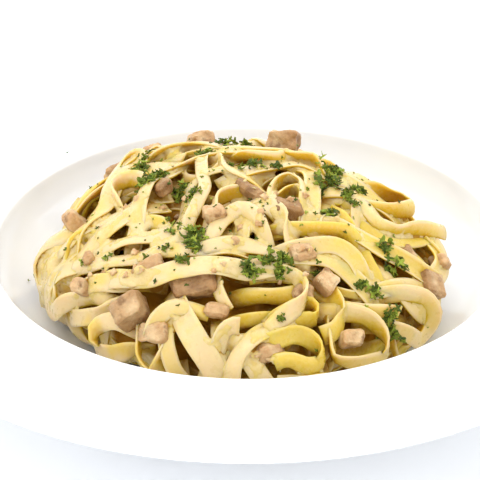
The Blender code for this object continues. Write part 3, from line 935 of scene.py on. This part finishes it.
def leaf_flake(size, rng):
    """A chopped piece of parsley leaf: lobed, folded and wavy, closed all round."""
    count = 16
    angles = np.arange(count) * 2 * math.pi / count
    lobes = rng.choice((3, 4, 5))
    edge = 0.62 + 0.3 * np.cos(lobes * angles + rng.uniform(0, 6)) + rng.normal(size=count) * 0.13
    edge = np.clip(edge, 0.25, 1.3) * size
    stretch = rng.uniform(0.55, 1)
    outline = np.stack([np.cos(angles) * edge, np.sin(angles) * edge * stretch], -1)
    inner = outline * 0.5
    flat = np.vstack([[(0, 0)], inner, outline])
    fold, wave = rng.uniform(-0.5, 0.9), rng.uniform(0.1, 0.35)
    level = np.abs(flat[:, 1]) * fold
    around = np.arctan2(flat[:, 1], flat[:, 0])
    level += wave * np.linalg.norm(flat, axis=1) * np.sin(3 * around + rng.uniform(0, 6))
    top = np.column_stack([flat, level + 0.12])
    bottom = np.column_stack([flat * 0.96, level - 0.12])
    faces = []
    low = len(top)
    for i in range(count):
        here, there = 1 + i, 1 + (i + 1) % count
        faces.append((0, here, there))
        faces.append((here, here + count, there + count, there))
        faces.append((low, low + there, low + here))
        faces.append((low + here, low + there, low + there + count, low + here + count))
        faces.append((here + count, low + here + count, low + there + count, there + count))
    return np.vstack([top, bottom]), faces


def ham_bit(size, rng):
    """A small uneven lump."""
    bm = bmesh.new()
    bmesh.ops.create_cube(bm, size=1.5)
    bmesh.ops.subdivide_edges(bm, edges=bm.edges, cuts=3, use_grid_fill=True)
    points = np.array([vert.co for vert in bm.verts])
    faces = [tuple(vert.index for vert in face.verts) for face in bm.faces]
    bm.free()
    points *= (0.75 + 0.25 / np.linalg.norm(points, axis=1))[:, None]
    shift = Vector(rng.uniform(0, 50, 3))
    lumps = np.array([noise.noise(Vector(point) * 1.1 + shift) for point in points])
    points *= (1 + 0.5 * lumps)[:, None]
    return points * rng.uniform(0.5, 1.0, 3) * size, faces


class Scatter:
    """One mesh of many small things, with each thing's tone as an attribute."""

    def __init__(self):
        self.points, self.faces, self.tones, self.count = [], [], [], 0

    def add(self, shape, spot, lift, axes, tone):
        points, faces = shape
        point, normal = spot
        self.points.append(points @ axes + point + normal * lift)
        self.faces += [tuple(index + self.count for index in face) for face in faces]
        self.tones.append(np.full(len(points), tone))
        self.count += len(points)

    def make(self, name, material):
        obj = mesh_object(name, np.concatenate(self.points), self.faces)
        add_attribute(obj, "tone", np.concatenate(self.tones))
        obj.data.materials.append(material)
        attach(obj, "root")
        return obj


def scatter_parsley(surface, seed=17):
    rng = np.random.default_rng(seed)
    parsley = Scatter()
    for across, along, radius, amount in PARSLEY:
        for _ in range(round(amount * FLAKES)):
            place = np.array((across, along)) + rng.normal(size=2) * radius * 0.55
            spot = surface.on_heap(place)
            if spot:
                size = rng.uniform(*(TUFT_FLAKE if radius > TUFT_FROM else SMALL_FLAKE))
                lift = 0.4 + rng.uniform(0, 0.5) * radius * (rng.random() < 0.5)
                axes = turned_frame(spot[1], rng, 0.5)
                parsley.add(leaf_flake(size, rng), spot, lift, axes, rng.random())
    for _ in range(SPECKS):
        spot = surface.on_heap(rng.normal(size=2) * SPECKS_SPREAD + SPECKS_MIDDLE)
        if spot:
            axes = turned_frame(spot[1], rng, 0.3)
            parsley.add(leaf_flake(rng.uniform(*SPECK), rng), spot, 0.1, axes, rng.random())
    for x, y, radius, amount in PARSLEY_ON_PLATE:
        for _ in range(amount):
            spot = on_plate(np.array((x, y)) + rng.normal(size=2) * radius * 0.5)
            size = rng.uniform(*(PLATE_FLAKE if radius > TUFT_FROM else PLATE_SPECK))
            axes = turned_frame(spot[1], rng, 0.12)
            parsley.add(leaf_flake(size, rng), spot, 0.5, axes, rng.random())
    return parsley.make("parsley", parsley_material())


def scatter_lumps(surface, seed=31):
    """Small clots that stick out of the sauce, mostly on the crown."""
    rng = np.random.default_rng(seed)
    lumps = Scatter()
    for _ in range(SAUCE_LUMPS):
        spot = surface.on_heap(rng.normal(size=2) * LUMPS_SPREAD + LUMPS_MIDDLE)
        if spot:
            size = rng.uniform(*LUMP_SIZE)
            lumps.add(ham_bit(size, rng), spot, 0.1, turned_frame(spot[1], rng, 0.5), 0)
    return mesh_object("sauce_lumps", np.concatenate(lumps.points), lumps.faces)


def scatter_ham_bits(surface, seed=23):
    rng = np.random.default_rng(seed)
    bits = Scatter()
    for across, along, radius, amount in HAM_BITS:
        for _ in range(amount):
            spot = surface.on_heap(np.array((across, along)) + rng.normal(size=2) * radius * 0.5)
            if spot:
                size = rng.uniform(*HAM_BIT_SIZE)
                axes = turned_frame(spot[1], rng, 0.5)
                bits.add(ham_bit(size, rng), spot, size * 0.2, axes, rng.random())
    return bits.make("ham_bits", bpy.data.materials["diced_ham"])


# Materials


class Nodes:
    """Short calls for a material's nodes."""

    def __init__(self, name):
        self.material = bpy.data.materials.new(name)
        self.material.use_nodes = True
        self.tree = self.material.node_tree
        self.shader = self.tree.nodes["Principled BSDF"]
        self.position = self.add("ShaderNodeNewGeometry").outputs["Position"]

    def add(self, kind, **values):
        node = self.tree.nodes.new(kind)
        for key, value in values.items():
            setattr(node, key, value)
        return node

    def feed(self, socket, value):
        if isinstance(value, bpy.types.NodeSocket):
            self.tree.links.new(value, socket)
        else:
            socket.default_value = value

    def noise(self, scale, detail):
        node = self.add("ShaderNodeTexNoise")
        self.feed(node.inputs["Vector"], self.position)
        self.feed(node.inputs["Scale"], scale)
        self.feed(node.inputs["Detail"], detail)
        self.feed(node.inputs["Roughness"], 0.55)
        return node.outputs["Fac"]

    def attribute(self, name, kind="GEOMETRY"):
        node = self.add("ShaderNodeAttribute", attribute_name=name, attribute_type=kind)
        return node.outputs["Fac"]

    def ramp(self, value, low, high, to_low=0.0, to_high=1.0):
        node = self.add("ShaderNodeMapRange")
        node.interpolation_type = "SMOOTHSTEP"
        for socket, number in zip(node.inputs[:5], (value, low, high, to_low, to_high)):
            self.feed(socket, number)
        return node.outputs["Result"]

    def math(self, operation, first, second):
        node = self.add("ShaderNodeMath", operation=operation)
        self.feed(node.inputs[0], first)
        self.feed(node.inputs[1], second)
        return node.outputs[0]

    def mix(self, share, first, second):
        node = self.add("ShaderNodeMix", data_type="RGBA")
        self.feed(node.inputs[0], share)
        self.feed(node.inputs[6], (*first, 1) if isinstance(first, tuple) else first)
        self.feed(node.inputs[7], (*second, 1) if isinstance(second, tuple) else second)
        return node.outputs[2]

    def bump(self, height, strength, distance):
        node = self.add("ShaderNodeBump")
        self.feed(node.inputs["Height"], height)
        self.feed(node.inputs["Strength"], strength)
        self.feed(node.inputs["Distance"], distance)
        self.feed(self.shader.inputs["Normal"], node.outputs["Normal"])

    def set(self, **values):
        for key, value in values.items():
            self.feed(self.shader.inputs[key.replace("_", " ")], value)

    def colour(self, base, uneven, smoothest, roughest):
        """The base colour, and a roughness that varies between two values."""
        self.set(Base_Color=base, Roughness=self.ramp(uneven, 0.3, 0.7, smoothest, roughest))

    def translucence(self, weight, scale, radius):
        """Light scattered under the surface."""
        self.set(Subsurface_Weight=weight, Subsurface_Scale=scale, Subsurface_Radius=radius)

    def wet(self, seen, hollow, roughness):
        """A wet shine, which fades as painted shade in the hollows and where little of the sky is seen.
        """
        lit, raised = self.ramp(seen, 0.4, 0.95), self.ramp(hollow, 0.1, 0.5, 1.0, 0.0)
        shine = self.math("MULTIPLY", lit, raised)
        self.set(Coat_Weight=self.math("MULTIPLY", shine, 0.25), Coat_Roughness=roughness)
        self.set(Specular_IOR_Level=self.math("MULTIPLY", shine, 0.4))


def pasta_material():
    nodes = Nodes("pasta")
    tone, hollow, outward = (nodes.attribute(name) for name in ("tone", "hollow", "outward"))
    edge, creamy, seen = (nodes.attribute(name) for name in ("edge", "creamy", "open"))
    # golden, deep and brown are painted shade: a gold for faces turned in, a darker tan for sides and
    # places that see little sky, and a dark colour for the hollows.
    cream, dough, golden_shade = (0.67, 0.493, 0.245), (0.64, 0.45, 0.048), (0.61, 0.40, 0.018)
    deep, hollow_shade = (0.46, 0.245, 0.014), (0.26, 0.12, 0.008)
    broad = nodes.noise(60, 3)
    # The share of cream over dough is partly the sauce's covering, at random and where the heap is
    # creamy, and partly painted light: faces that look out of the heap are made lighter, and the
    # ribbons' edges are kept light.
    coat_and_light = nodes.math("ADD", nodes.math("MULTIPLY", broad, 0.6), nodes.math("MULTIPLY", tone, 0.35))
    coat_and_light = nodes.math("ADD", coat_and_light, nodes.math("MULTIPLY", outward, 0.55))
    coat_and_light = nodes.math("ADD", coat_and_light, nodes.math("MULTIPLY", edge, 0.35))
    coat_and_light = nodes.math("ADD", coat_and_light, nodes.math("MULTIPLY", creamy, 0.35))
    base = nodes.mix(nodes.ramp(coat_and_light, 0.9, 1.35), dough, cream)
    # Painted shade: faces that turn sideways on the heap, away from the edges, are darkened towards
    # deep.
    side_shade, face = nodes.ramp(outward, 0.62, 0.3, 0.0, 0.6), nodes.ramp(edge, 0.3, 0.7, 1.0, 0.0)
    base = nodes.mix(nodes.math("MULTIPLY", side_shade, face), base, deep)
    patch = nodes.ramp(nodes.noise(75, 2), 0.5, 0.72)
    base = nodes.mix(nodes.math("MULTIPLY", patch, 0.75), base, (0.68, 0.46, 0.04))
    # Painted shade: faces that turn in on the ribbons listed for their inner faces, and faces turned in
    # that see little sky, take a gold that stands in for the shade and warm bounced light inside loops
    # and folds.
    inner_face_shade, side_shade = nodes.ramp(tone, -0.1, -0.9), nodes.ramp(outward, 0.95, 0.7, 0.1, 0.6)
    base = nodes.mix(nodes.math("MULTIPLY", inner_face_shade, side_shade), base, golden_shade)
    inner = nodes.math("MULTIPLY", nodes.ramp(outward, 0.88, 0.55), nodes.ramp(seen, 1.0, 0.7))
    base = nodes.mix(inner, base, golden_shade)
    # Painted shade: darker where little sky is seen, and darker still deep in the hollows.
    base = nodes.mix(nodes.ramp(seen, 0.6, 0.0, 0.0, 0.8), base, deep)
    base = nodes.mix(nodes.ramp(hollow, 0.25, 1.0, 0.0, 0.85), base, hollow_shade)
    fine = nodes.noise(900, 5)
    base = nodes.mix(nodes.ramp(fine, 0.3, 0.8, 0.0, 0.2), base, (0.70, 0.58, 0.30))
    nodes.colour(base, nodes.noise(260, 4), 0.25, 0.45)
    nodes.translucence(0.45, 0.004, (1.0, 0.6, 0.15))
    nodes.wet(seen, hollow, 0.2)
    nodes.bump(nodes.math("ADD", nodes.noise(420, 5), nodes.math("MULTIPLY", fine, 0.3)), 0.4, 0.0005)
    return nodes.material


def sauce_material():
    nodes = Nodes("sauce")
    hollow = nodes.attribute("hollow")
    cream, light = (0.60, 0.45, 0.175), (0.67, 0.53, 0.26)
    base = nodes.mix(nodes.ramp(nodes.noise(90, 4), 0.35, 0.65), cream, light)
    base = nodes.mix(nodes.ramp(nodes.noise(260, 5), 0.6, 0.75, 0.0, 0.5), base, (0.56, 0.38, 0.16))
    thin = nodes.ramp(nodes.attribute("depth"), 0.0, 0.45, 0.85, 0.0)
    base = nodes.mix(thin, base, (0.64, 0.46, 0.10))
    seen = nodes.attribute("open")
    # Painted shade: darker where little sky is seen, and darker still deep in the hollows.
    base = nodes.mix(nodes.ramp(seen, 0.75, 0.1, 0.0, 0.9), base, (0.40, 0.19, 0.02))
    base = nodes.mix(nodes.ramp(hollow, 0.2, 0.85, 0.0, 0.92), base, (0.27, 0.11, 0.006))
    nodes.colour(base, nodes.noise(300, 3), 0.22, 0.4)
    nodes.translucence(0.3, 0.003, (1.0, 0.65, 0.35))
    nodes.wet(seen, hollow, 0.15)
    nodes.bump(nodes.math("ADD", nodes.noise(350, 5), nodes.noise(1100, 3)), 0.5, 0.0006)
    return nodes.material


def parsley_material():
    nodes = Nodes("parsley")
    tone = nodes.attribute("tone")
    base = nodes.mix(nodes.ramp(tone, 0.2, 0.75), (0.036, 0.064, 0.002), (0.12, 0.175, 0.009))
    base = nodes.mix(nodes.ramp(tone, 0.55, 0.9), base, (0.29, 0.36, 0.04))
    base = nodes.mix(nodes.ramp(nodes.noise(700, 4), 0.4, 0.7, 0.0, 0.6), base, (0.14, 0.175, 0.012))
    nodes.colour(base, nodes.noise(500, 2), 0.5, 0.75)
    nodes.set(Specular_IOR_Level=0.25, Subsurface_Weight=0.15, Subsurface_Scale=0.001)
    nodes.bump(nodes.noise(1200, 4), 0.5, 0.0003)
    return nodes.material


def core_material():
    nodes = Nodes("core")
    # Painted shade: the core is dark so that the holes between the noodles read as deep shade.
    dark, hollow_shade = (0.20, 0.08, 0.008), (0.34, 0.17, 0.022)
    base = nodes.mix(nodes.ramp(nodes.noise(120, 4), 0.35, 0.7), dark, hollow_shade)
    nodes.set(Base_Color=base, Roughness=0.5)
    nodes.bump(nodes.noise(300, 4), 0.6, 0.001)
    return nodes.material


def ham_material():
    nodes = Nodes("diced_ham")
    grain = nodes.noise(240, 5)
    browned_and_shaded = nodes.attribute("browned_and_shaded", "OBJECT")
    lean = nodes.mix(nodes.ramp(grain, 0.35, 0.7), (0.46, 0.26, 0.105), (0.61, 0.39, 0.19))
    base = nodes.mix(nodes.ramp(nodes.noise(150, 3), 0.42, 0.7), lean, (0.69, 0.50, 0.275))
    # The toasted colour is a crust, and on the large die in front it is painted shade.
    toast_and_shade = nodes.mix(nodes.ramp(grain, 0.3, 0.7), (0.21, 0.10, 0.035), (0.40, 0.225, 0.085))
    patches = nodes.math("ADD", nodes.ramp(nodes.noise(60, 2), 0.3, 0.7, -0.35, 0.35), browned_and_shaded)
    base = nodes.mix(nodes.ramp(patches, 0.2, 0.8, 0.0, 0.9), base, toast_and_shade)
    dark = nodes.ramp(nodes.noise(190, 4), 0.56, 0.7, 0.0, 0.8)
    base = nodes.mix(dark, base, (0.20, 0.095, 0.03))
    nodes.colour(base, nodes.noise(400, 3), 0.35, 0.55)
    nodes.translucence(0.25, 0.003, (1.0, 0.5, 0.3))
    nodes.set(Specular_IOR_Level=0.3, Coat_Weight=0.1, Coat_Roughness=0.25)
    nodes.bump(nodes.math("ADD", grain, nodes.noise(900, 4)), 0.8, 0.0008)
    return nodes.material


def porcelain_material():
    nodes = Nodes("porcelain")
    # Painted light: the glaze is tinted a little blue to offset the warm light that the pasta bounces
    # onto it.
    base = nodes.mix(nodes.ramp(nodes.noise(14, 3), 0.3, 0.7), (0.90, 0.94, 1.0), (0.92, 0.955, 1.0))
    nodes.colour(base, nodes.noise(60, 3), 0.1, 0.17)
    nodes.set(Coat_Weight=0.5, Coat_Roughness=0.05)
    nodes.bump(nodes.noise(22, 2), 0.05, 0.0005)
    return nodes.material


def floor_material():
    nodes = Nodes("floor")
    base = nodes.mix(nodes.ramp(nodes.noise(5, 3), 0.3, 0.7), (0.86, 0.86, 0.865), (0.88, 0.88, 0.88))
    nodes.set(Base_Color=base, Roughness=0.7)
    return nodes.material


# Plate


def arc(centre, size, start, end, count):
    """Points of an elliptical arc, from start to end in degrees."""
    angles = np.radians(np.linspace(start, end, count))
    return [(centre[0] + size[0] * math.cos(a), centre[1] + size[1] * math.sin(a)) for a in angles]


def make_plate():
    """The plate turned finely, to the frame's sizes."""
    lip = RIM_HEIGHT - LIP_RADIUS
    floor, under, edge = 9.0, 4.0, 2.1
    foot_out, foot_in = 60, 53
    wall = WELL_RADIUS - FLOOR_RADIUS
    profile = [(0, floor), (FLOOR_RADIUS * 0.5, floor)]
    profile += arc((FLOOR_RADIUS, lip), (wall, lip - floor), -90, -4, 30)
    profile += arc((WELL_RADIUS + LIP_RADIUS, lip), (LIP_RADIUS, LIP_RADIUS), 176, 90, 9)
    profile += [(WELL_RADIUS + 16, RIM_HEIGHT + 0.5), (PLATE_RADIUS - 12, RIM_HEIGHT + 1.15)]
    profile += arc((PLATE_RADIUS - edge, PLATE_HIGH[2] - edge), (edge, edge), 90, -90, 13)
    profile += [(WELL_RADIUS + 20, RIM_HEIGHT - 3.8), (WELL_RADIUS + 8, RIM_HEIGHT - 4.2)]
    profile += arc((FLOOR_RADIUS, lip), (wall + 5, lip - under), -10, -78, 24)
    profile += arc((foot_out - 1, 1), (1, 1), 0, -90, 4) + arc((foot_in + 1, 1), (1, 1), -90, -180, 4)
    profile += [(foot_in - 0.5, under), (0, under)]
    bm = bmesh.new()
    verts = [bm.verts.new((x * MM, 0, z * MM)) for x, z in profile]
    edges = [bm.edges.new(pair) for pair in zip(verts, verts[1:])]
    bmesh.ops.spin(
        bm, geom=verts + edges, cent=(0, 0, 0), axis=(0, 0, 1), angle=2 * math.pi, steps=192,
        use_merge=True,
    )
    bmesh.ops.remove_doubles(bm, verts=bm.verts, dist=1e-6)
    bmesh.ops.recalc_face_normals(bm, faces=bm.faces)
    mesh = bpy.data.meshes.new("glazed_plate")
    bm.to_mesh(mesh)
    bm.free()
    mesh.shade_smooth()
    plate = bpy.data.objects.new("glazed_plate", mesh)
    bpy.context.scene.collection.objects.link(plate)
    plate.data.materials.append(porcelain_material())
    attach(plate, "root")
    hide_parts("plate")


# Ham


def finish_ham():
    """The frame's dice get rounder edges and an uneven surface."""
    material = ham_material()
    dice = []
    textures = []
    for name, scale in (("ham_lumps", 8), ("ham_fibres", 3)):
        textures.append(bpy.data.textures.new(name, "CLOUDS"))
        textures[-1].noise_scale = scale * MM
    for name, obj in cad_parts.items():
        if not name.startswith("ham_"):
            continue
        weld = obj.modifiers.new("Weld", "WELD")
        weld.merge_threshold = 1e-5
        rounded = name in ROUNDED
        subdivide = obj.modifiers.new("Subdivide", "SUBSURF")
        subdivide.subdivision_type = "CATMULL_CLARK" if rounded else "SIMPLE"
        subdivide.levels = subdivide.render_levels = 3
        for texture, strength in zip(textures, (3.6, 1.8) if rounded else (2.2, 1.1)):
            lumps = obj.modifiers.new(texture.name, "DISPLACE")
            lumps.texture = texture
            lumps.texture_coords = "GLOBAL"
            lumps.strength = strength * MM
        soften = obj.modifiers.new("Soften", "SMOOTH")
        soften.factor, soften.iterations = 0.5, 2
        obj["browned_and_shaded"] = BROWNED_AND_SHADED.get(name, USUALLY_BROWNED)
        for place in range(len(obj.material_slots)):
            obj.material_slots[place].material = material
        obj.data.shade_smooth()
        dice.append(obj)
    return dice


# Scene


FLOOR_HALF, FLOOR_DROP = 3000, 0.2
LIGHTS_AIM = Vector((0, 0, 0.04))


def add_area(name, place, size, power):
    light = bpy.data.lights.new(name, "AREA")
    light.shape = "RECTANGLE"
    light.size, light.size_y = size
    light.energy = power
    obj = bpy.data.objects.new(name, light)
    obj.location = place
    obj.rotation_euler = (LIGHTS_AIM - Vector(place)).to_track_quat("-Z", "Y").to_euler()
    bpy.context.scene.collection.objects.link(obj)


def make_studio():
    scene = bpy.context.scene
    scene.view_settings.view_transform = "Standard"
    world = bpy.data.worlds.new("studio")
    world.use_nodes = True
    world.node_tree.nodes["Background"].inputs["Color"].default_value = (1, 1, 1, 1)
    world.node_tree.nodes["Background"].inputs["Strength"].default_value = 1.53
    scene.world = world
    add_area("key", (-0.3, -0.1, 1.25), (0.7, 0.7), 3.5)
    add_area("back", (0.35, 0.9, 0.9), (1.0, 0.6), 3)
    add_area("fill", (-0.8, -0.5, 0.4), (0.8, 0.6), 1)
    turns = ((-1, -1), (1, -1), (1, 1), (-1, 1))
    corners = [(x * FLOOR_HALF, y * FLOOR_HALF, -FLOOR_DROP) for x, y in turns]
    floor = mesh_object("floor", np.array(corners), [(0, 1, 2, 3)])
    floor.data.materials.append(floor_material())


def make_camera():
    """Above and in front of the plate, as a diner sees it through a long lens."""
    elevation = math.radians(29.26)
    distance = 0.672
    aim = Vector((0, 0, RIM_HEIGHT * MM))
    back = Vector((0, -math.cos(elevation), math.sin(elevation)))
    camera = bpy.data.objects.new("camera", bpy.data.cameras.new("camera"))
    camera.location = aim + back * distance
    camera.rotation_euler = (-back).to_track_quat("-Z", "Y").to_euler()
    camera.data.lens = 135.7
    camera.data.sensor_width = 36
    camera.data.shift_x = -0.01875
    camera.data.shift_y = -0.01167
    camera.data.clip_start, camera.data.clip_end = 0.01, 20
    bpy.context.scene.collection.objects.link(camera)
    bpy.context.scene.camera = camera


def make_pasta():
    noodles = fill_heap() + lay_all_by_hand()
    material = pasta_material()
    groups = 3
    pieces = []
    for number in range(groups):
        piece = join_noodles(f"noodles_{number}", noodles[number::groups], 20 + number)
        piece.data.materials.append(material)
        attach(piece, "root")
        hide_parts("pasta_heap")
        pieces.append(piece)
    core = make_core("heap_core", CORE_DEPTH)
    core.data.materials.append(core_material())
    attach(core, "root")
    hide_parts("pasta_heap")
    return pieces


make_camera()
make_studio()
make_plate()
ham = finish_ham()
noodles = make_pasta()
surface = Surface(noodles + ham)
ham.append(scatter_ham_bits(surface))
lumps = scatter_lumps(surface)
surface = Surface(noodles + [ham[-1]])
sauce = make_sauce(noodles + [ham[-1], lumps])
bpy.data.objects.remove(lumps)
mark_depth(sauce, surface.tree)
surface = Surface(noodles + ham + [sauce])
for piece in noodles + [sauce]:
    mark_openness(piece, surface.tree)
scatter_parsley(surface)
